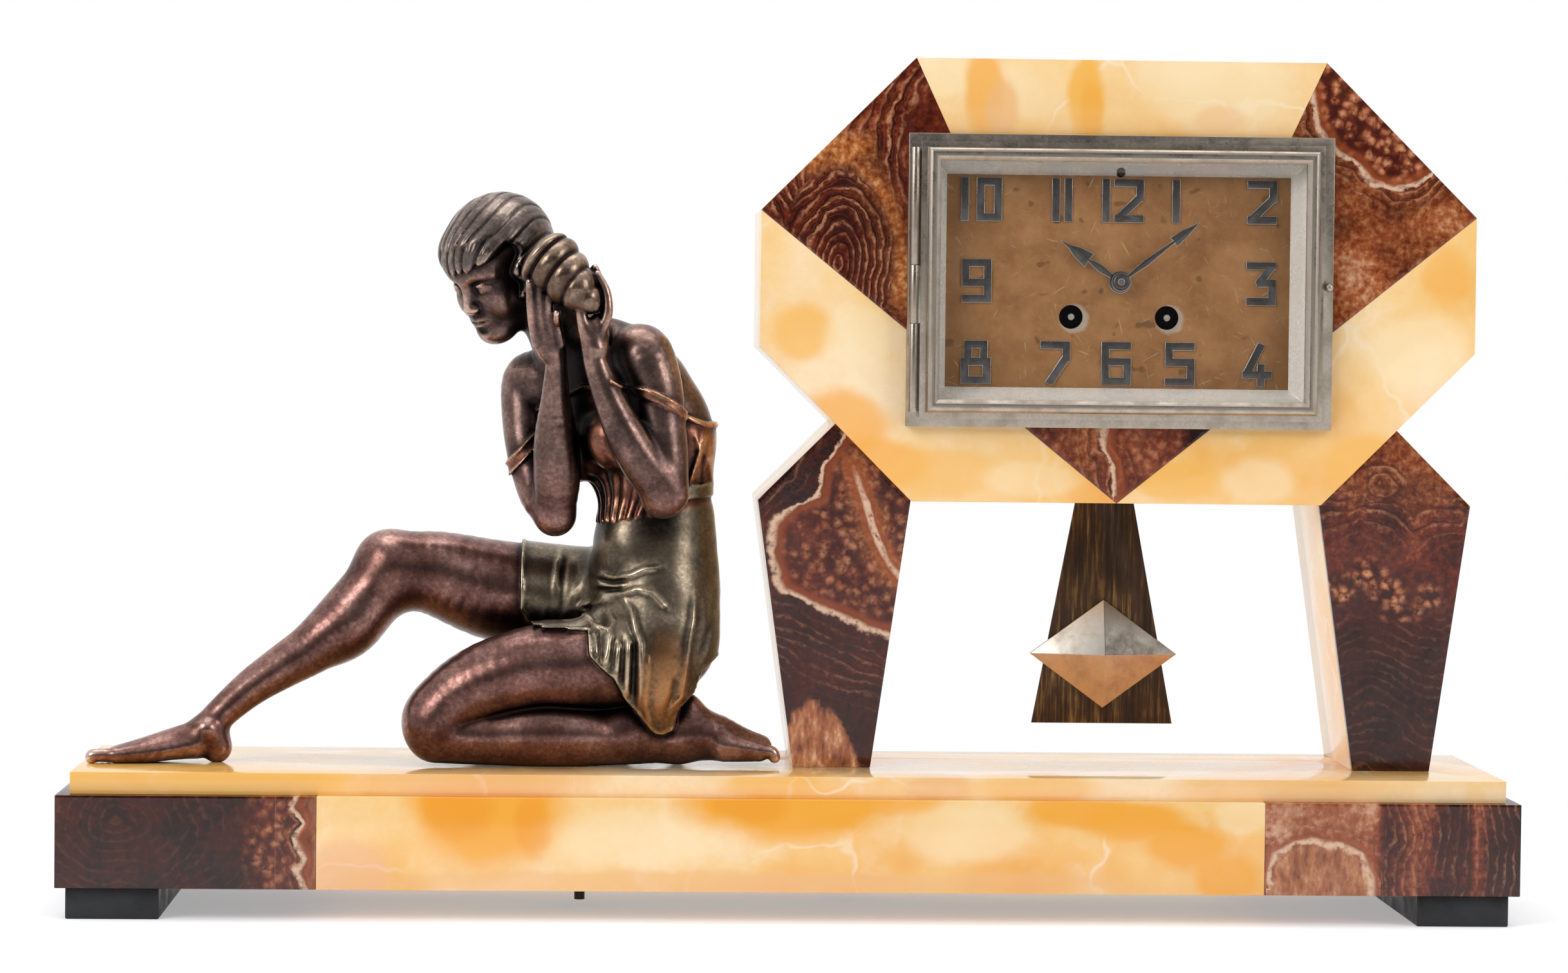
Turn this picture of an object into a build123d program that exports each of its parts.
"""Figural onyx mantel clock: octagonal case on two legs, visible pendulum, kneeling figure.

Millimetres. Origin on the floor under the middle of the base, X to the right, Y to the back, Z up.
"""
import os
from math import atan2, cos, degrees, hypot, pi, radians, sin, sqrt
from build123d import *

os.makedirs("parts", exist_ok=True)

# Base
base_length = 600.0
base_depth = 130.0
foot_height = 13.0
foot_width = 38.0
foot_inset = 4.0
block_height = 38.0
end_block_length = 106.0
slab_thickness = 9.0
slab_setback = 5.5

# Figure: reach from toe to toe, and the gaps that place it and the case on the base
figure_reach = 289.5
figure_leg_gap = 4.25
case_end_gap = 14.0

# Case and legs
case_width = 300.0
case_height = 185.0
corner_cut = 64.0
case_front = -22.0
case_depth = 76.0
panel_thickness = 8.0
leg_height = 112.0
leg_foot_width = 32.5
leg_front = -17.0
leg_depth = 75.0
leg_facing_thickness = 4.0
stud_radius = 3.0
stud_inset = 10.0

# Bezel, dial and hands
bezel_width = 178.0
bezel_height = 122.0
bezel_border = 9.0
bezel_thickness = 5.0
door_margin = 3.5
door_border = 8.0
door_step = 3.0
cushion_rise = 6.0
glass_thickness = 3.0
glass_bevel = 6.0
glass_bevel_depth = 1.2
dial_recess = 2.0
sight_slope_x = 8.5
sight_slope_z = 7.7
dial_thickness = 1.2
numeral_height = 18.3
numeral_width = 12.6
numeral_stroke = 3.4
numeral_thickness = 0.8
numeral_side_margin = 12.0
numeral_inner_column = 25.8
numeral_edge_margin = 10.3
minute_hand_length = 41.5
hour_hand_length = 30.2
hand_thickness = 0.8
minute_hand_angle = 52.3
hour_hand_angle = 304.4

# Movement
winding_x = 20.1
winding_z = -14.7
winding_hole_radius = 5.0
winding_square = 4.0
plate_radius = 48.5
plate_thickness = 2.0
dial_pillar_length = 8.8
plate_spacing = 24.0
bore_radius = 58.0
arbor_radius = 1.1
pivot_radius = 0.8
running_gap = 0.05
wheel_thickness = 1.4
pinion_length = 2.6
great_teeth = 84
center_pinion_teeth = 14
strike_pinion_teeth = 12
train_teeth = 80
pin_wheel_teeth = 72
warning_teeth = 64
leaf_count = 8
center_module = 0.42
third_module = 0.36
escape_teeth = 41
escape_radius = 10.3
escape_height = 19.0
pallet_height = 34.4
pallet_gap = 0.75
barrel_radius = 17.2
barrel_length = 11.0
cannon_teeth = 12
minute_wheel_teeth = 36
minute_pinion_teeth = 10
hour_wheel_teeth = 40
motion_distance = 12.0
bell_radius = 33.0
bell_depth = 14.0

# Pendulum
pendulum_offset = 6.0
pendulum_plate_thickness = 1.6
pendulum_floor_gap = 16.0
pendulum_hidden_length = 10.0
pendulum_plate_bottom_width = 60.5
pendulum_taper = 0.373
bob_width = 63.0
bob_height = 46.5
bob_height_on_plate = 30.0
bob_rise = 9.0
pendulum_swing = 3.0

# Levels that follow from the sizes above
leg_axis = case_width / 2 - corner_cut / 2
case_offset = base_length / 2 - case_end_gap - case_width / 2
stud_offset = leg_axis - stud_inset
block_top = foot_height + block_height
slab_top = block_top + slab_thickness
case_bottom = slab_top + leg_height
case_z = case_bottom + case_height / 2
case_back = case_front + case_depth
body_front = case_front + panel_thickness
opening_width = bezel_width - 14.0
opening_height = bezel_height - 14.0
dial_front = case_front + dial_recess
dial_back = dial_front + dial_thickness
front_plate_front = dial_back + dial_pillar_length
plate_in = front_plate_front + plate_thickness
plate_out = plate_in + plate_spacing
movement_back = plate_out + plate_thickness
pendulum_plane = movement_back + pendulum_offset
pendulum_plate_bottom = slab_top + pendulum_floor_gap
pendulum_plate_top = case_bottom + pendulum_hidden_length
bob_center = pendulum_plate_bottom + bob_height_on_plate


def finish(builder, name):
    """Label a finished piece and write its file."""
    piece = builder.part
    piece.label = name
    export_step(piece, f"parts/{name}.step")


def front(y, x=0.0, z=0.0):
    """Plane facing the viewer at depth y, centred on the dial and shifted by x and z."""
    return Plane(origin=(case_offset + x, y, case_z + z), x_dir=(1, 0, 0), z_dir=(0, -1, 0))


def disc(radius, y_front, y_back, x=0.0, z=0.0, mode=Mode.ADD):
    with BuildSketch(front(y_back, x, z)) as outline:
        Circle(radius)
    extrude(outline.sketch, amount=y_back - y_front, mode=mode)


def slab(width, height, y_front, y_back, x=0.0, z=0.0, mode=Mode.ADD):
    with BuildSketch(front(y_back, x, z)) as outline:
        Rectangle(width, height)
    extrude(outline.sketch, amount=y_back - y_front, mode=mode)


def shape(points, y_front, y_back, x=0.0, z=0.0, mode=Mode.ADD):
    with BuildSketch(front(y_back, x, z)) as outline:
        with BuildLine():
            Polyline(*points, close=True)
        make_face()
    extrude(outline.sketch, amount=y_back - y_front, mode=mode)


def ring_of_rectangles(outer, inner, y_front, y_back):
    with BuildSketch(front(y_back)) as outline:
        Rectangle(*outer)
        Rectangle(*inner, mode=Mode.SUBTRACT)
    extrude(outline.sketch, amount=y_back - y_front)


def upright(radius, x, y, z_low, z_high, mode=Mode.ADD):
    """Vertical round bar in the frame of the whole object."""
    with BuildSketch(Plane.XY.offset(z_low).move(Location((x, y, 0)))) as outline:
        Circle(radius)
    extrude(outline.sketch, amount=z_high - z_low, mode=mode)


def toothed(teeth, module, phase, y_front, y_back, at):
    """Toothed rim with thin teeth; phase is the angle of one tooth, in radians."""
    pitch = 2 * pi / teeth
    radius = module * teeth / 2
    points = []
    for number in range(teeth):
        middle = phase + number * pitch
        for reach, side in ((-1.0, -0.25), (0.65, -0.11), (0.65, 0.11), (-1.0, 0.25)):
            r, angle = radius + reach * module, middle + side * pitch
            points.append((r * cos(angle), r * sin(angle)))
    shape(points, y_front, y_back, *at)


def mate(teeth_a, phase_a, at_a, teeth_b, at_b):
    """Phase that puts gear b in mesh with gear a."""
    line = atan2(at_b[1] - at_a[1], at_b[0] - at_a[0])
    pitch_a, pitch_b = 2 * pi / teeth_a, 2 * pi / teeth_b
    offset = ((line - phase_a) % pitch_a) / pitch_a
    return line + pi - pitch_b * (0.5 - offset)


def spokes(radius, y_front, y_back, at, count=5):
    """Round windows that lighten a wheel."""
    for number in range(count):
        angle = 2 * pi * number / count
        disc(radius * 0.27, y_front - 0.5, y_back + 0.5,
             at[0] + radius * 0.58 * cos(angle), at[1] + radius * 0.58 * sin(angle), Mode.SUBTRACT)


def polar(start, distance, angle):
    return (start[0] + distance * cos(radians(angle)), start[1] + distance * sin(radians(angle)))


def rim_of_two_circles(a, radius_a, b, radius_b):
    """Right-hand crossing point of two circles."""
    dx, dz = b[0] - a[0], b[1] - a[1]
    d = hypot(dx, dz)
    along = (radius_a**2 - radius_b**2 + d**2) / (2 * d)
    side = sqrt(radius_a**2 - along**2)
    return (a[0] + along * dx / d + side * dz / d, a[1] + along * dz / d - side * dx / d)


# Stone base
center_length = base_length - 2 * end_block_length
base_blocks = (
    ("base_left_block", end_block_length, -(center_length + end_block_length) / 2),
    ("base_center_block", center_length, 0.0),
    ("base_right_block", end_block_length, (center_length + end_block_length) / 2),
)
figure_scale = figure_reach / 289.5
figure_x = case_offset - leg_axis - leg_foot_width / 2 - figure_leg_gap - figure_reach
figure_stud = (figure_x + 205.0 * figure_scale, -9.0 * figure_scale)
leg_studs = [(case_offset + side * stud_offset, leg_front + leg_depth / 2) for side in (-1, 1)]
bolt_holes = leg_studs + [figure_stud]
for block_name, length, middle in base_blocks:
    with BuildPart() as block:
        with BuildSketch(Plane.XY.offset(foot_height).move(Location((middle, 0, 0)))):
            Rectangle(length, base_depth)
        extrude(amount=block_height)
        for x, y in bolt_holes:
            if abs(x - middle) < length / 2 - stud_radius - 1:
                upright(stud_radius + 0.5, x, y, foot_height - 1, block_top + 1, Mode.SUBTRACT)
    finish(block, block_name)

with BuildPart() as plinth:
    with BuildSketch(Plane.XY.offset(block_top)):
        Rectangle(base_length - 2 * slab_setback, base_depth - 2 * slab_setback)
    extrude(amount=slab_thickness)
    for x, y in bolt_holes:
        upright(stud_radius + 0.5, x, y, block_top - 1, slab_top + 1, Mode.SUBTRACT)
finish(plinth, "plinth_slab")

with BuildPart() as feet:
    with BuildSketch():
        with Locations(*[(side * (base_length / 2 - foot_inset - foot_width / 2), 0) for side in (-1, 1)]):
            Rectangle(foot_width, base_depth - 2 * foot_inset)
    extrude(amount=foot_height)
finish(feet, "foot_bars")

# Legs: pentagons whose inner upper edge carries the case
half_width, half_height = case_width / 2, case_height / 2
leg_back = leg_front + leg_depth


def leg_points(side):
    return [(side * (leg_axis - leg_foot_width / 2), -half_height - leg_height),
            (side * (leg_axis + leg_foot_width / 2), -half_height - leg_height),
            (side * half_width, -half_height),
            (side * leg_axis, -half_height + corner_cut / 2),
            (side * (half_width - corner_cut), -half_height)]


with BuildPart() as leg_cores:
    for side in (-1, 1):
        shape(leg_points(side), leg_front + leg_facing_thickness, leg_back)
    for x, y in leg_studs:
        upright(stud_radius + 0.5, x, y, slab_top - 1, case_z, Mode.SUBTRACT)
finish(leg_cores, "leg_cores")

for side, facing_name in ((-1, "left_leg_facing"), (1, "right_leg_facing")):
    with BuildPart() as facing:
        shape(leg_points(side), leg_front, leg_front + leg_facing_thickness)
    finish(facing, facing_name)

# Octagonal case body with dial recess, movement bore and pendulum slot
octagon = [(half_width - corner_cut, half_height), (half_width, half_height - corner_cut),
           (half_width, corner_cut - half_height), (half_width - corner_cut, -half_height),
           (corner_cut - half_width, -half_height), (-half_width, corner_cut - half_height),
           (-half_width, half_height - corner_cut), (corner_cut - half_width, half_height)]
stud_depth = 14.0
stud_top = case_bottom + stud_offset - (half_width - corner_cut) + stud_depth
slot_clearance = 2.6
slot_half = (pendulum_plate_bottom_width / 2 - pendulum_taper / 2 * (case_bottom - pendulum_plate_bottom)
             + (half_height + pallet_height) * sin(radians(pendulum_swing)) + slot_clearance)
with BuildPart() as case_body:
    shape(octagon, body_front, case_back)
    slab(opening_width, opening_height, body_front - 1, body_front + 14, mode=Mode.SUBTRACT)
    disc(bore_radius, body_front, case_back + 1, mode=Mode.SUBTRACT)
    slab(2 * slot_half, half_height, pendulum_plane - 8, pendulum_plane + 7,
         0, -half_height - 1, Mode.SUBTRACT)
    for x, y in leg_studs:
        upright(stud_radius + 0.5, x, y, case_bottom - 1, stud_top + 0.5, Mode.SUBTRACT)
finish(case_body, "case_body")

# Front panels, cut by straight seams that run to the middle of the lower edge
ow, oh = opening_width / 2, opening_height / 2
top_x, side_z = half_width - corner_cut, half_height - corner_cut


def on_steep(z):
    """Half width of the top panel at height z."""
    return top_x * (z + half_height) / (2 * half_height)


def on_flat_x(z):
    """Where the seam from the side vertex crosses height z."""
    return half_width * (z + half_height) / (side_z + half_height)


def on_flat_z(x):
    return -half_height + x * (side_z + half_height) / half_width


panels = {"panel_top": [(-top_x, half_height), (top_x, half_height), (on_steep(oh), oh), (-on_steep(oh), oh)],
          "panel_bottom": [(-on_flat_x(-oh), -oh), (on_flat_x(-oh), -oh), (0, -half_height)]}
for side, word in ((-1, "left"), (1, "right")):
    panels[f"panel_{word}"] = [(side * x, z) for x, z in (
        (half_width, side_z), (top_x, half_height), (on_steep(oh), oh), (ow, oh), (ow, on_flat_z(ow)))]
    panels[f"panel_lower_{word}"] = [(side * x, z) for x, z in (
        (half_width, side_z), (half_width, -side_z), (top_x, -half_height), (0, -half_height),
        (on_flat_x(-oh), -oh), (ow, -oh), (ow, on_flat_z(ow)))]
for panel_name, points in panels.items():
    with BuildPart() as panel:
        shape(points, case_front, body_front)
    finish(panel, panel_name)

# Studs, washers and nuts that tie the legs and the figure to the base
with BuildPart() as fixings:
    for x, y in leg_studs:
        upright(stud_radius, x, y, foot_height - 7, stud_top)
    upright(stud_radius - 0.8, *figure_stud, foot_height - 10.0, slab_top + 13 * figure_scale)
    for x, y in bolt_holes:
        upright(9.0, x, y, foot_height - 1.2, foot_height)
        with BuildSketch(Plane.XY.offset(foot_height - 5.2).move(Location((x, y, 0)))) as nut:
            RegularPolygon(6.0, 6)
        extrude(nut.sketch, amount=4.0)
finish(fixings, "base_fixings")

# Bezel: fixed frame, sight frame, hinged door with bevelled glass
frame_front = case_front - bezel_thickness
hinge_radius = 2.0
pin_radius = 0.9
hinge_x = -bezel_width / 2 + hinge_radius + 0.6
hinge_y = frame_front - hinge_radius - 0.2
inner_width, inner_height = bezel_width - 2 * bezel_border, bezel_height - 2 * bezel_border
dial_width, dial_height = inner_width - 2 * sight_slope_x, inner_height - 2 * sight_slope_z
regulator_z = dial_height / 2 + 0.9
door_knuckle = (-18.0, 6.0)
hinge_reach = bezel_height / 2 - 6.0


def knuckle(low, high, x, y, bore, mode=Mode.ADD):
    upright(bore, case_offset + x, y, case_z + low, case_z + high, mode)


with BuildPart() as bezel_frame:
    ring_of_rectangles((bezel_width, bezel_height), (inner_width, inner_height), frame_front, case_front)
    for low, high in ((-hinge_reach, door_knuckle[0] - 0.3), (door_knuckle[1] + 0.3, hinge_reach)):
        knuckle(low, high, hinge_x, hinge_y, hinge_radius)
        slab(1.6, high - low, frame_front - 1.0, frame_front + 0.5, hinge_x, (low + high) / 2)
        knuckle(low - 1, high + 1, hinge_x, hinge_y, pin_radius, Mode.SUBTRACT)
finish(bezel_frame, "bezel_frame")

with BuildPart() as sight_frame:
    slab(inner_width - 0.4, inner_height - 0.4, frame_front + 0.2, dial_front)
    with BuildSketch(front(dial_front)) as dial_edge:
        Rectangle(dial_width, dial_height)
    with BuildSketch(front(frame_front + 0.2)) as glass_edge:
        Rectangle(inner_width - 5.4, inner_height - 5.4)
    loft([dial_edge.sketch.face(), glass_edge.sketch.face()], mode=Mode.SUBTRACT)
    disc(1.8, frame_front, dial_front + 1, 0, regulator_z, Mode.SUBTRACT)
finish(sight_frame, "sight_frame")

door_back = frame_front - 0.2
step_front = door_back - door_step
cushion_front = step_front - cushion_rise
door_left = hinge_x + hinge_radius + 0.5
door_right = bezel_width / 2 - door_margin - 1.0
door_width = door_right - door_left
door_height = bezel_height - 2 * door_margin
door_x = (door_left + door_right) / 2
sight_width, sight_height = door_width - 2 * door_border, door_height - 2 * door_border
rebate_front = door_back - glass_thickness - 1.8
with BuildPart() as bezel_door:
    slab(door_width, door_height, step_front, door_back, door_x)
    slab(door_width - 5, door_height - 5, cushion_front, step_front, door_x)
    fillet(bezel_door.faces().sort_by(Axis.Y)[0].edges(), cushion_rise * 0.42)
    slab(sight_width, sight_height, cushion_front - 1, door_back + 1, door_x, 0, Mode.SUBTRACT)
    chamfer(bezel_door.faces().sort_by(Axis.Y)[0].inner_wires().edges(), cushion_rise * 0.3)
    slab(sight_width + 4, sight_height + 4, rebate_front, door_back + 1, door_x, 0, Mode.SUBTRACT)
    slab(door_left - hinge_x + 1.0, door_knuckle[1] - door_knuckle[0], hinge_y - 0.9, hinge_y + 0.9,
         (hinge_x + door_left + 1.0) / 2, sum(door_knuckle) / 2)
    knuckle(*door_knuckle, hinge_x, hinge_y, hinge_radius)
    knuckle(door_knuckle[0] - 1, door_knuckle[1] + 1, hinge_x, hinge_y, pin_radius + running_gap, Mode.SUBTRACT)
    disc(3.2, cushion_front - 1, door_back + 1, bezel_width / 2 - 2.2, -1.4, Mode.SUBTRACT)
finish(bezel_door, "bezel_door")

with BuildPart() as glass:
    with BuildSketch(front(rebate_front + glass_thickness)) as rear:
        Rectangle(sight_width + 3.8, sight_height + 3.8)
    extrude(rear.sketch, amount=glass_thickness - glass_bevel_depth)
    with BuildSketch(front(rebate_front + glass_bevel_depth)) as bevel_rear:
        Rectangle(sight_width + 3.8, sight_height + 3.8)
    with BuildSketch(front(rebate_front)) as bevel_front:
        Rectangle(sight_width + 3.8 - 2 * glass_bevel, sight_height + 3.8 - 2 * glass_bevel)
    loft([bevel_rear.sketch.face(), bevel_front.sketch.face()])
glass.part.position = (door_x, 0, 0)
finish(glass, "bezel_glass")

with BuildPart() as pins:
    knuckle(-hinge_reach, hinge_reach, hinge_x, hinge_y, pin_radius)
    disc(1.1, frame_front - 2.4, frame_front, bezel_width / 2 - 2.2, -1.4)
    with Locations((case_offset + bezel_width / 2 - 2.2, frame_front - 3.2, case_z - 1.4)):
        Sphere(1.9)
finish(pins, "bezel_pins")

# Dial with applied block numerals
with BuildPart() as dial:
    slab(inner_width - 0.4, inner_height - 0.4, dial_front, dial_back)
    disc(3.6, dial_front - 1, dial_back + 1, mode=Mode.SUBTRACT)
    for side in (-1, 1):
        disc(winding_hole_radius, dial_front - 1, dial_back + 1, side * winding_x, winding_z, Mode.SUBTRACT)
    disc(1.5, dial_front - 1, dial_back + 1, 0, regulator_z, Mode.SUBTRACT)
finish(dial, "dial_plate")

# Strokes of each digit on a unit square
digits = {
    "0": [[(0, 0), (1, 0), (1, 1), (0, 1), (0, 0)]],
    "1": [[(0.5, 0), (0.5, 1)]],
    "2": [[(0, 1), (1, 1), (1, 0.6), (0, 0.0)], [(0, 0), (1, 0)]],
    "3": [[(0, 1), (1, 1), (0.45, 0.55)], [(0.45, 0.52), (1, 0.52), (1, 0), (0, 0)]],
    "4": [[(0.62, 1), (0, 0.22)], [(0, 0.22), (1, 0.22)], [(0.68, 0.42), (0.68, 0)]],
    "5": [[(1, 1), (0, 1), (0, 0.55), (1, 0.55), (1, 0), (0, 0)]],
    "6": [[(1, 1), (0, 1), (0, 0), (1, 0), (1, 0.55), (0, 0.55)]],
    "7": [[(0, 1), (1, 1), (1, 0.66), (0.3, 0)]],
    "8": [[(0, 0), (1, 0), (1, 0.52), (0, 0.52), (0, 0)], [(0.14, 0.52), (0.14, 1), (0.86, 1), (0.86, 0.52)]],
    "9": [[(0, 0), (1, 0), (1, 1), (0, 1), (0, 0.45), (1, 0.45)]],
}
column, inner = dial_width / 2 - numeral_side_margin, numeral_inner_column
row = dial_height / 2 - numeral_edge_margin
narrow = numeral_width * 0.85
digit_places = [
    ("1", -column - 5.6, row, numeral_stroke), ("0", -column + 4.6, row, narrow),
    ("1", -inner - 1.2, row, numeral_stroke), ("1", -inner + 4.0, row, numeral_stroke),
    ("1", -6.0, row, numeral_stroke), ("2", 3.6, row, numeral_width),
    ("1", inner - 2.4, row, numeral_stroke), ("2", column, row, numeral_width),
    ("3", column, 0, numeral_width), ("4", column - 1.2, -row, numeral_width),
    ("5", inner, -row, numeral_width), ("6", -0.9, -row, numeral_width),
    ("7", -inner - 0.7, -row, numeral_width), ("8", -column - 0.3, -row, numeral_width),
    ("9", -column - 0.3, 0, numeral_width)]
with BuildPart() as numerals:
    for digit, x, z, width in digit_places:
        span, rise = width - numeral_stroke, numeral_height - numeral_stroke
        with BuildSketch(front(dial_front, x, z)) as outline:
            for path in digits[digit]:
                places = [((u - 0.5) * span, (v - 0.5) * rise) for u, v in path]
                for (x0, z0), (x1, z1) in zip(places, places[1:]):
                    with Locations(((x0 + x1) / 2, (z0 + z1) / 2)):
                        Rectangle(hypot(x1 - x0, z1 - z0) + numeral_stroke, numeral_stroke,
                                  rotation=degrees(atan2(z1 - z0, x1 - x0)))
            Rectangle(width, numeral_height, mode=Mode.INTERSECT)
        extrude(outline.sketch, amount=numeral_thickness)
finish(numerals, "hour_numerals")

# Places of the arbors, seen from the front with the hands at the middle
center_at = (0.0, 0.0)
time_at, strike_at = (winding_x, winding_z), (-winding_x, winding_z)
great_module = 2 * hypot(winding_x, winding_z) / (great_teeth + center_pinion_teeth)
escape_at, pallet_at = (0.0, escape_height), (0.0, pallet_height)
third_at = rim_of_two_circles(center_at, center_module * (train_teeth + leaf_count) / 2,
                              escape_at, third_module * (train_teeth + leaf_count) / 2)
pin_at = polar(strike_at, great_module * (great_teeth + strike_pinion_teeth) / 2, 95)
warning_at = polar(pin_at, center_module * (pin_wheel_teeth + leaf_count) / 2, 61)
fly_at = polar(warning_at, third_module * (warning_teeth + leaf_count) / 2, 165)
hammer_reach = 17.2
hammer_at = polar(pin_at, hammer_reach, 165)
minute_at = (0.0, -motion_distance)
regulator_at = (0.0, regulator_z)

arbors = [center_at, third_at, escape_at, pin_at, warning_at, fly_at]
pillar_at = [polar((0, 0), plate_radius - 9.5, angle) for angle in (20, 100, 268)] + [(7.5 - plate_radius, 2.0)]
dial_pillar_at = [(x, z) for x in (-30, 30) for z in (-28, 28)]
strap_x = plate_radius + 1.5

with BuildPart() as front_plate:
    disc(plate_radius, front_plate_front, plate_in)
    slab(2 * strap_x + 8, 11, front_plate_front, plate_in)
    disc(1.0, front_plate_front - 7.2, front_plate_front, *minute_at)
    for at in arbors[1:] + [pallet_at, hammer_at]:
        disc(pivot_radius + running_gap, front_plate_front - 1, plate_in + 1, *at, Mode.SUBTRACT)
    disc(arbor_radius + running_gap, front_plate_front - 1, plate_in + 1, *center_at, Mode.SUBTRACT)
    for at in (time_at, strike_at):
        disc(2.6 + running_gap, front_plate_front - 1, plate_in + 1, *at, Mode.SUBTRACT)
    disc(1.0 + running_gap, front_plate_front - 1, plate_in + 1, *regulator_at, Mode.SUBTRACT)
finish(front_plate, "front_plate")

with BuildPart() as back_plate:
    disc(plate_radius, plate_out, movement_back)
    for at in arbors:
        disc(pivot_radius + running_gap, plate_out - 1, movement_back + 1, *at, Mode.SUBTRACT)
    for at in (pallet_at, hammer_at):
        disc(arbor_radius + running_gap, plate_out - 1, movement_back + 1, *at, Mode.SUBTRACT)
    for at in (time_at, strike_at):
        disc(2.0 + running_gap, plate_out - 1, movement_back + 1, *at, Mode.SUBTRACT)
    disc(1.0 + running_gap, plate_out - 1, movement_back + 1, *regulator_at, Mode.SUBTRACT)
finish(back_plate, "back_plate")

with BuildPart() as pillars:
    for at in pillar_at:
        disc(2.3, plate_in, plate_out, *at)
    for at in dial_pillar_at:
        disc(2.5, dial_back, front_plate_front, *at)
finish(pillars, "movement_pillars")

# Depths of the wheels between the plates
center_y = plate_in + 1.2
third_y = center_y + 2.6
strike_great_y = third_y + 2.6
barrel_front = strike_great_y + 2.2
barrel_back = barrel_front + barrel_length
time_great_y = barrel_back + 0.2
pin_y = plate_out - 1.8
warning_y = plate_in + 13.0
escape_y = warning_y + 3.6
great_thickness = 2.0

# Spring barrels turn on their winding arbors
great_phase = 0.0
for name, at, wheel_y in (("time_barrel", time_at, time_great_y), ("strike_barrel", strike_at, strike_great_y)):
    with BuildPart() as barrel:
        disc(barrel_radius, barrel_front, barrel_back, *at)
        toothed(great_teeth, great_module, great_phase, wheel_y, wheel_y + great_thickness, at)
        disc(6.0, min(wheel_y, barrel_front), max(wheel_y + great_thickness, barrel_back), *at)
        disc(2.6 + running_gap, plate_in, plate_out, *at, Mode.SUBTRACT)
        disc(barrel_radius - 1.2, barrel_front + 1.2, barrel_back - 1.2, *at, Mode.SUBTRACT)
    finish(barrel, name)

for name, at in (("time_winding_arbor", time_at), ("strike_winding_arbor", strike_at)):
    ratchet = []
    for number in range(20):
        angle = 2 * pi * number / 20
        ratchet += [(6.0 * cos(angle), 6.0 * sin(angle)), (7.0 * cos(angle + 0.05), 7.0 * sin(angle + 0.05))]
    with BuildPart() as winder:
        disc(2.6, front_plate_front - 4.0, plate_out - 0.2, *at)
        disc(2.0, plate_out - 0.2, movement_back + 1, *at)
        slab(winding_square, winding_square, dial_front - 0.6, front_plate_front - 4.0, *at)
        shape(ratchet, front_plate_front - 2.0, front_plate_front - 0.4, *at)
        disc(9.0, barrel_front + 3, barrel_back - 3, *at)
    finish(winder, name)

# Going train
center_pinion_phase = mate(great_teeth, great_phase, time_at, center_pinion_teeth, center_at)
third_pinion_phase = mate(train_teeth, 0.0, center_at, leaf_count, third_at)
escape_pinion_phase = mate(train_teeth, 0.0, third_at, leaf_count, escape_at)
cannon_front = dial_front - 6.4
hand_tip = cannon_front - 1.2
with BuildPart() as center_wheel:
    toothed(train_teeth, center_module, 0.0, center_y, center_y + wheel_thickness, center_at)
    spokes(center_module * train_teeth / 2, center_y, center_y + wheel_thickness, center_at)
    toothed(center_pinion_teeth, great_module, center_pinion_phase, time_great_y - 0.6,
            time_great_y + great_thickness + 0.6, center_at)
    disc(arbor_radius, hand_tip, plate_out, *center_at)
    disc(pivot_radius, plate_out, movement_back + 0.5, *center_at)
finish(center_wheel, "center_wheel")


def arbor_with_pivots(at, back_extra=0.5):
    disc(arbor_radius, plate_in + 0.2, plate_out - 0.2, *at)
    disc(pivot_radius, front_plate_front - 0.4, movement_back + back_extra, *at)


with BuildPart() as third_wheel:
    toothed(train_teeth, third_module, 0.0, third_y, third_y + wheel_thickness, third_at)
    spokes(third_module * train_teeth / 2, third_y, third_y + wheel_thickness, third_at)
    toothed(leaf_count, center_module, third_pinion_phase, center_y - 0.6, center_y - 0.6 + pinion_length,
            third_at)
    arbor_with_pivots(third_at)
finish(third_wheel, "third_wheel")

with BuildPart() as escape_wheel:
    saw = []
    for number in range(escape_teeth):
        angle = 2 * pi * number / escape_teeth
        saw += [((escape_radius - 1.3) * cos(angle), (escape_radius - 1.3) * sin(angle)),
                (escape_radius * cos(angle + 0.02), escape_radius * sin(angle + 0.02))]
    shape(saw, escape_y, escape_y + 1.2, *escape_at)
    spokes(escape_radius - 1.3, escape_y, escape_y + 1.2, escape_at, 4)
    toothed(leaf_count, third_module, escape_pinion_phase, third_y - 0.6, third_y - 0.6 + pinion_length,
            escape_at)
    arbor_with_pivots(escape_at)
finish(escape_wheel, "escape_wheel")

# Anchor with crutch; the pallets stay just clear of the escape wheel
reach = escape_radius + pallet_gap
drop = pallet_height - escape_height
nib = (reach * sin(radians(48)), reach * cos(radians(48)) - drop)
half_anchor = [(0.0, 2.6), (2.6, 2.0), (nib[0] + 2.0, nib[1] + 2.8), (nib[0] + 1.6, nib[1] + 0.8), nib,
               (nib[0] - 0.9, nib[1] + 1.8), (0.0, -2.6)]
crutch_y = movement_back + 1.2
rod_radius = 1.2
crutch_drop = 28.0
with BuildPart() as anchor:
    shape(half_anchor + [(-x, z) for x, z in half_anchor[-2:0:-1]], escape_y - 0.6, escape_y + 1.8, *pallet_at)
    disc(arbor_radius, plate_in + 0.2, crutch_y + 1.6, *pallet_at)
    disc(pivot_radius, front_plate_front - 0.4, plate_in + 0.2, *pallet_at)
    slab(2.4, crutch_drop, crutch_y, crutch_y + 1.6, 0, pallet_height - crutch_drop / 2)
    for side in (-1, 1):
        slab(1.0, 3.0, crutch_y, pendulum_plane + 1.0, side * (rod_radius + 0.2 + 0.5),
             pallet_height - crutch_drop)
    slab(2 * rod_radius + 2.4, 3.0, crutch_y, crutch_y + 1.6, 0, pallet_height - crutch_drop)
finish(anchor, "pallet_anchor")

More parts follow.
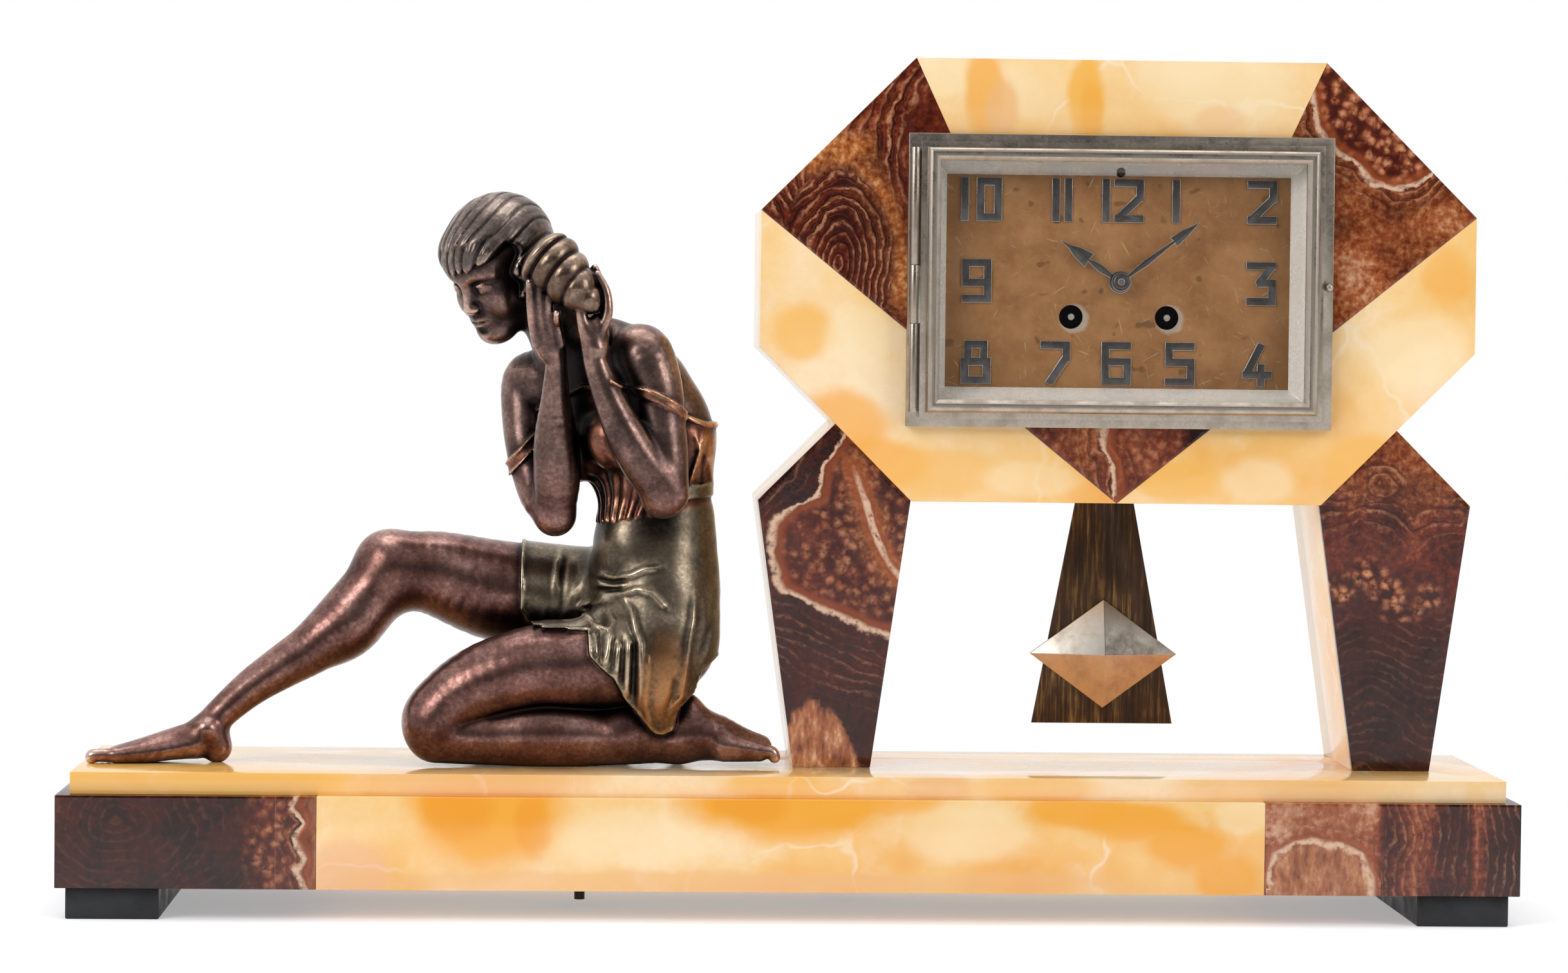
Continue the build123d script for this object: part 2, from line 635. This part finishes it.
# Strike train
pin_pinion_phase = mate(great_teeth, great_phase, strike_at, strike_pinion_teeth, pin_at)
warning_pinion_phase = mate(pin_wheel_teeth, 0.0, pin_at, leaf_count, warning_at)
fly_pinion_phase = mate(warning_teeth, 0.0, warning_at, leaf_count, fly_at)
pin_circle = 11.0
with BuildPart() as pin_wheel:
    toothed(pin_wheel_teeth, center_module, 0.0, pin_y, pin_y + wheel_thickness, pin_at)
    toothed(strike_pinion_teeth, great_module, pin_pinion_phase, strike_great_y - 0.4,
            strike_great_y + great_thickness + 0.4, pin_at)
    arbor_with_pivots(pin_at)
    for number in range(12):
        disc(0.5, pin_y - 2.2, pin_y, *polar(pin_at, pin_circle, 30 * number))
finish(pin_wheel, "strike_pin_wheel")

with BuildPart() as warning_wheel:
    toothed(warning_teeth, third_module, 0.0, warning_y, warning_y + wheel_thickness, warning_at)
    spokes(third_module * warning_teeth / 2, warning_y, warning_y + wheel_thickness, warning_at)
    toothed(leaf_count, center_module, warning_pinion_phase, pin_y - 0.5, pin_y + wheel_thickness + 0.3,
            warning_at)
    arbor_with_pivots(warning_at)
finish(warning_wheel, "warning_wheel")

with BuildPart() as fly:
    toothed(leaf_count, third_module, fly_pinion_phase, warning_y - 0.6, warning_y - 0.6 + pinion_length,
            fly_at)
    arbor_with_pivots(fly_at)
    slab(10.4, 0.8, warning_y + 2.4, warning_y + 6.8, *fly_at)
finish(fly, "strike_fly")

# Hammer and bell
bell_front = pendulum_plane + 4.5
bell_back = bell_front + bell_depth
bell_z = -2.0
hammer_head = (-bell_radius - 3.4, bell_z)
tail = (pin_circle + 1.2) - hammer_reach
with BuildPart() as hammer:
    arbor_span = bell_front + 2.5
    disc(arbor_radius, plate_in + 0.2, arbor_span, *hammer_at)
    disc(pivot_radius, front_plate_front - 0.4, plate_in + 0.2, *hammer_at)
    shape([polar((0, 0), -tail, -15), (-1.5, -2.2), (-2.2, 1.4), (0, 2.2)], pin_y - 2.4, pin_y - 0.4,
          *hammer_at)
    disc(2.0, pin_y - 2.4, pin_y - 0.4, *hammer_at)
    shape([(hammer_at[0] - 1.2, hammer_at[1] + 1.6), (hammer_at[0] + 1.2, hammer_at[1] + 1.6),
           (hammer_head[0] + 1.0, hammer_head[1]), (hammer_head[0] - 1.0, hammer_head[1])],
          arbor_span - 2.0, arbor_span)
    disc(3.0, arbor_span - 3.0, arbor_span + 3.0, *hammer_head)
finish(hammer, "strike_hammer")

with BuildPart() as bell:
    bell_plane = Plane(origin=(case_offset, 0, case_z + bell_z), x_dir=(1, 0, 0), z_dir=(0, 0, 1))
    with BuildSketch(bell_plane) as profile:
        with BuildLine():
            outside = Spline((bell_radius, bell_front), (bell_radius * 0.78, bell_back - 3.0), (4.0, bell_back),
                             tangents=((-0.25, 1), (-1, 0)))
            Line(outside @ 1, (4.0, bell_back - 1.6))
            inside = Spline((4.0, bell_back - 1.6), (bell_radius * 0.75, bell_back - 4.6),
                            (bell_radius - 1.6, bell_front), tangents=((1, 0), (0.25, -1)))
            Line(inside @ 1, outside @ 0)
        make_face()
    revolve(profile.sketch, axis=Axis((case_offset, 0, case_z + bell_z), (0, 1, 0)))
    disc(4.0, bell_back - 1.6, bell_back, 0, bell_z)
    disc(1.8, bell_front + 4.0, bell_back, 0, bell_z)
    disc(3.4, bell_back, bell_back + 3.0, 0, bell_z)
    foot_at = (15.0, -19.0)
    shape([(foot_at[0] - 2.2, foot_at[1]), (foot_at[0] + 2.2, foot_at[1] + 1.5), (1.8, bell_z + 1.8),
           (-1.8, bell_z - 1.0)], bell_front + 4.0, bell_front + 6.5)
    disc(2.4, movement_back, bell_front + 6.5, *foot_at)
finish(bell, "strike_bell")

# Suspension and pendulum, bending at the height of the pallet arbor
cock_low = pallet_height + 1.4
with BuildPart() as cock:
    slab(18, 10, movement_back, movement_back + 2, 0, cock_low + 5)
    slab(8, 5.5, movement_back + 2, pendulum_plane + 3.4, 0, cock_low + 2.75)
    slab(1.0, 12, pendulum_plane - 1.9, pendulum_plane + 1.9, 0, cock_low + 2, Mode.SUBTRACT)
    disc(1.0 + running_gap, movement_back - 1, movement_back + 3, *regulator_at, Mode.SUBTRACT)
finish(cock, "suspension_cock")

plate_top_z, plate_low = pendulum_plate_top, pendulum_plate_bottom
plate_top_width = pendulum_plate_bottom_width - pendulum_taper * (plate_top_z - plate_low)
rod_low = plate_top_z - 6.0
with BuildPart() as rod:
    slab(0.2, 9.0, pendulum_plane - 1.7, pendulum_plane + 1.7, 0, pallet_height - 0.2)
    slab(3.0, 3.0, pendulum_plane - 2.0, pendulum_plane + 2.0, 0, pallet_height - 5.0)
    upright(rod_radius, case_offset, pendulum_plane, rod_low, case_z + pallet_height - 5.0)
finish(rod, "pendulum_rod")

with BuildPart() as pendulum_plate:
    low_half = pendulum_plate_bottom_width / 2
    shape([(-low_half, plate_low - case_z), (low_half, plate_low - case_z),
           (plate_top_width / 2, plate_top_z - case_z), (-plate_top_width / 2, plate_top_z - case_z)],
          pendulum_plane - pendulum_plate_thickness / 2, pendulum_plane + pendulum_plate_thickness / 2)
    upright(2.2, case_offset, pendulum_plane, rod_low - 2.0, plate_top_z + 2.0)
    upright(rod_radius, case_offset, pendulum_plane, rod_low, plate_top_z + 3.0, Mode.SUBTRACT)
finish(pendulum_plate, "pendulum_plate")

bob_back = pendulum_plane - pendulum_plate_thickness / 2
with BuildPart() as bob:
    lozenge = [(bob_width / 2, 0), (0, bob_height / 2), (-bob_width / 2, 0), (0, -bob_height / 2)]
    shape(lozenge, bob_back - 2.0, bob_back, 0, bob_center - case_z)
    with BuildSketch(front(bob_back - 2.0, 0, bob_center - case_z)) as bob_edge:
        with BuildLine():
            Polyline(*lozenge, close=True)
        make_face()
    with BuildSketch(front(bob_back - 2.0 - bob_rise, 0, bob_center - case_z)) as bob_peak:
        with BuildLine():
            Polyline(*[(x * 0.012, z * 0.012) for x, z in lozenge], close=True)
        make_face()
    loft([bob_edge.sketch.face(), bob_peak.sketch.face()])
finish(bob, "pendulum_bob")

with BuildPart() as regulator:
    disc(1.0, dial_front - 1.4, movement_back + 2.0, *regulator_at)
    slab(2.6, 0.5, dial_front - 1.4, dial_front - 1.0, *regulator_at)
finish(regulator, "regulator_arbor")

# Motion work and hands
motion_module = 2 * motion_distance / (cannon_teeth + minute_wheel_teeth)
hour_module = 2 * motion_distance / (minute_pinion_teeth + hour_wheel_teeth)
minute_phase = mate(cannon_teeth, 0.0, center_at, minute_wheel_teeth, minute_at)
hour_phase = mate(minute_pinion_teeth, 0.0, minute_at, hour_wheel_teeth, center_at)
minute_y = front_plate_front - 2.4
hour_y = front_plate_front - 5.4
cannon_radius = 2.0
with BuildPart() as cannon:
    toothed(cannon_teeth, motion_module, 0.0, minute_y - 0.6, front_plate_front - 0.4, center_at)
    disc(cannon_radius, cannon_front, front_plate_front - 0.4, *center_at)
    disc(arbor_radius + running_gap, cannon_front - 1, front_plate_front, *center_at, Mode.SUBTRACT)
finish(cannon, "cannon_pinion")

with BuildPart() as minute_wheel:
    toothed(minute_wheel_teeth, motion_module, minute_phase, minute_y, minute_y + wheel_thickness, minute_at)
    toothed(minute_pinion_teeth, hour_module, 0.0, hour_y - 0.6, minute_y, minute_at)
    disc(1.0 + running_gap, hour_y - 2, front_plate_front, *minute_at, Mode.SUBTRACT)
finish(minute_wheel, "minute_wheel")

hour_hand_y = dial_front - 3.2
with BuildPart() as hour_wheel:
    toothed(hour_wheel_teeth, hour_module, hour_phase, hour_y, hour_y + wheel_thickness, center_at)
    disc(2.9, hour_hand_y, hour_y, *center_at)
    disc(cannon_radius + running_gap, hour_hand_y - 1, hour_y + wheel_thickness + 1, *center_at, Mode.SUBTRACT)
finish(hour_wheel, "hour_wheel")


def hand(length, angle, y, boss, bore, leaf, base, head, shoulder):
    """Leaf-stemmed hand with a shield head; angle is clockwise from twelve, in degrees."""
    outline = [(0.4, 0.0), (leaf, length * 0.32), (leaf * 0.75, length * 0.45), (0.6, base),
               (head, base - 0.4), (shoulder, base + (length - base) * 0.42), (0.9, base + (length - base) * 0.68),
               (0.15, length)]
    points = outline + [(-x, z) for x, z in reversed(outline)]
    turn = radians(-angle)
    shape([(x * cos(turn) - z * sin(turn), x * sin(turn) + z * cos(turn)) for x, z in points],
          y, y + hand_thickness)
    disc(boss, y, y + hand_thickness)
    disc(bore, y - 1, y + hand_thickness + 1, mode=Mode.SUBTRACT)


with BuildPart() as hour_hand:
    hand(hour_hand_length, hour_hand_angle, hour_hand_y, 4.7, 2.9, 1.6, hour_hand_length * 0.53, 3.4, 2.4)
finish(hour_hand, "hour_hand")

with BuildPart() as minute_hand:
    hand(minute_hand_length, minute_hand_angle, cannon_front, 3.9, cannon_radius, 1.4, minute_hand_length * 0.67,
         2.4, 1.8)
finish(minute_hand, "minute_hand")

with BuildPart() as hand_nut:
    disc(3.5, hand_tip - 0.4, cannon_front)
    fillet(hand_nut.faces().sort_by(Axis.Y)[0].edges(), 0.9)
    disc(arbor_radius + running_gap, hand_tip - 2, cannon_front + 1, mode=Mode.SUBTRACT)
finish(hand_nut, "hand_nut")

# Rear ring with straps, and the hinged rear cover
ring_back = case_back + 2.0
rear_radius = bore_radius + 6.0
rear_hinge_x = -rear_radius - 1.0
rear_hinge_y = ring_back + 0.2 + 1.9
with BuildPart() as rear_ring:
    disc(rear_radius, case_back, ring_back)
    disc(bore_radius - 3.0, case_back - 1, ring_back + 1, mode=Mode.SUBTRACT)
    for side in (-1, 1):
        slab(2.0, 8.0, plate_in, ring_back, side * strap_x)
        slab(8.0, 8.0, case_back, ring_back, side * (strap_x + 3.0))
    for low, high in ((-15.0, -6.3), (6.3, 15.0)):
        knuckle(low, high, rear_hinge_x, rear_hinge_y, 1.9)
        slab(8.0, high - low, case_back, ring_back, rear_hinge_x + 3.0, (low + high) / 2)
        slab(2.0, high - low, ring_back - 1.0, ring_back + 1.0, rear_hinge_x, (low + high) / 2)
    knuckle(-15.0, 15.0, rear_hinge_x, rear_hinge_y, pin_radius)
finish(rear_ring, "rear_ring")

cover_front = ring_back + 0.3
with BuildPart() as rear_cover:
    disc(rear_radius - 3.0, cover_front, cover_front + 1.6)
    slab(9.0, 12.0, rear_hinge_y - 0.8, rear_hinge_y + 0.8, rear_hinge_x + 4.5)
    knuckle(-6.0, 6.0, rear_hinge_x, rear_hinge_y, 1.9)
    knuckle(-7.0, 7.0, rear_hinge_x, rear_hinge_y, pin_radius + running_gap, Mode.SUBTRACT)
    disc(2.8, cover_front + 1.6, cover_front + 5.0, rear_radius - 9.0)
finish(rear_cover, "rear_cover")


# Cast figure, in sections soldered together
def figure_point(x, y, z):
    return (figure_x + x * figure_scale, y * figure_scale, slab_top + z * figure_scale)


def tube(*stations, ruled=False):
    """Limb through elliptical sections (x from the toes, y, z above the slab, half widths along Y and across)."""
    sections = []
    for number, (x, y, z, a, b, *turn) in enumerate(stations):
        before, after = stations[max(number - 1, 0)], stations[min(number + 1, len(stations) - 1)]
        along = Vector(*after[:3]) - Vector(*before[:3])
        along = along.normalized()
        across = Vector(0, 1, 0) - along * along.Y
        with BuildSketch(Plane(origin=figure_point(x, y, z), x_dir=across, z_dir=along)) as section:
            Ellipse(a * figure_scale, b * figure_scale, rotation=turn[0] if turn else 0)
        sections.append(section.sketch.face())
    loft(sections, ruled=ruled)


def ball(x, y, z, radius):
    with Locations(figure_point(x, y, z)):
        Sphere(radius * figure_scale)


def trim(*pieces):
    for piece in pieces:
        add(piece.part, mode=Mode.SUBTRACT)


def on_slab():
    """Flatten whatever would sink below the top of the slab."""
    with Locations((0, 0, slab_top - 10)):
        Box(base_length, base_depth, 20, mode=Mode.SUBTRACT)


with BuildPart() as torso:
    tube((238, 5, 100, 25, 21), (237, 4, 116, 25, 20, 15), (228, 2, 138, 27, 22, 30), (216, 0, 158, 29, 20, 40),
         (204, -1, 172, 20, 14, 40), (198, -1, 178, 11, 10, 40))
finish(torso, "figure_torso")

with BuildPart() as skirt:
    tube((232, 0, 18, 20, 20), (235, 2, 40, 30, 24), (236, 4, 70, 33, 27), (237, 5, 90, 30, 24), (239, 5, 107, 24, 22))
    tube((230, 22, 70, 24, 26), (202, 25, 70, 22, 23), (178, 25, 72, 19, 20))
    tube((232, -10, 52, 20, 26), (210, -13, 46, 18, 22), (196, -14, 42, 16, 18))
    trim(torso)
finish(skirt, "figure_skirt")

with BuildPart() as right_leg:
    tube((218, 25, 70, 19, 20), (177, 24, 72, 17, 18.5), (147, 19, 78, 14.5, 16), (124, 13, 80, 14, 15))
    tube((126, 13, 83, 13.5, 14), (110, 8, 60, 15, 15), (95, 4, 45, 14.5, 16), (70, -4, 27, 10, 11),
         (51, -10, 16, 7.5, 8.5))
    tube((63, -10, 7, 7, 6), (46, -12, 9, 8, 9), (26, -15, 6, 9, 6), (10, -17, 3.5, 9, 3.6),
         (0, -18, 2.5, 6, 2.0))
    ball(125, 13, 80.5, 14.2)
    trim(skirt)
    on_slab()
finish(right_leg, "figure_right_leg")

with BuildPart() as left_leg:
    tube((222, -12, 50, 15, 19), (184, -15, 42, 15, 16.5), (158, -16, 28, 14, 15), (145, -16, 17, 13, 14))
    tube((145, -16, 13.5, 13, 13.5), (167, -15, 13, 13.5, 13.2), (194, -13, 12.5, 13, 13), (226, -10, 11, 11, 11.5),
         (252, -7, 8.5, 8, 8.8))
    tube((248, -7, 8.5, 8, 8), (264, -6, 7, 8.5, 7), (280, -5, 5.5, 8.5, 5), (289.5, -4, 5, 6, 2.6))
    ball(145, -16, 15, 13.2)
    trim(skirt, right_leg)
    on_slab()
    upright(stud_radius - 0.7, *figure_stud, slab_top - 1, slab_top + 13.2 * figure_scale, Mode.SUBTRACT)
finish(left_leg, "figure_left_leg")

with BuildPart() as head:
    tube((197, -1, 174, 10, 10.5), (189, -2, 182, 10, 10), (177, -5, 190, 14, 15), (171, -6, 201, 19, 21),
         (168, -6, 216, 23, 25), (167, -6, 228, 20, 21), (167, -6, 236, 11, 12), (167, -6, 239.5, 3, 3))
    trim(torso)
finish(head, "figure_head")

with BuildPart() as shell:
    tube((180, -31, 206, 5, 7), (185, -33, 208, 9, 12), (191, -35, 206, 11, 13), (194, -36, 204, 9.4, 10.6),
         (197, -38, 202, 9.6, 10.4), (200, -39, 200, 7.2, 7.6), (202, -40, 199, 7.0, 7.2), (204, -41, 197.5, 4.6, 4.8),
         (205.5, -42, 196.5, 4.2, 4.2), (209, -44, 194, 1.0, 1.0), ruled=True)
    trim(head)
finish(shell, "figure_shell")

with BuildPart() as right_arm:
    tube((188, 14, 166, 11, 12), (179, 14, 158, 11, 11.5), (184, 6, 134, 9.5, 10), (194, -9, 107, 8, 8.5))
    tube((195, -10, 104, 8, 8.5), (196, -19, 128, 8.5, 8.5), (194, -28, 158, 6, 6.2), (191, -32, 172, 5.5, 8),
         (188, -41, 188, 4, 8), (186, -46, 201, 3, 6))
    ball(195, -9.5, 105.5, 8.2)
    trim(torso, head, shell)
finish(right_arm, "figure_right_arm")

with BuildPart() as left_arm:
    tube((222, -16, 174, 11, 12), (230, -22, 170, 12, 12.5), (236, -28, 144, 10, 10.5), (239, -34, 116, 8.5, 9))
    tube((239, -34, 113, 8.4, 8.8), (227, -38, 138, 8.4, 8.6), (213, -42, 163, 6, 6.2), (208, -46, 178, 5.5, 7.5),
         (208, -48, 192, 4, 7.5), (210, -47, 205, 2.6, 5))
    ball(239, -34, 114.5, 8.6)
    trim(torso, head, shell, right_arm)
finish(left_arm, "figure_left_arm")
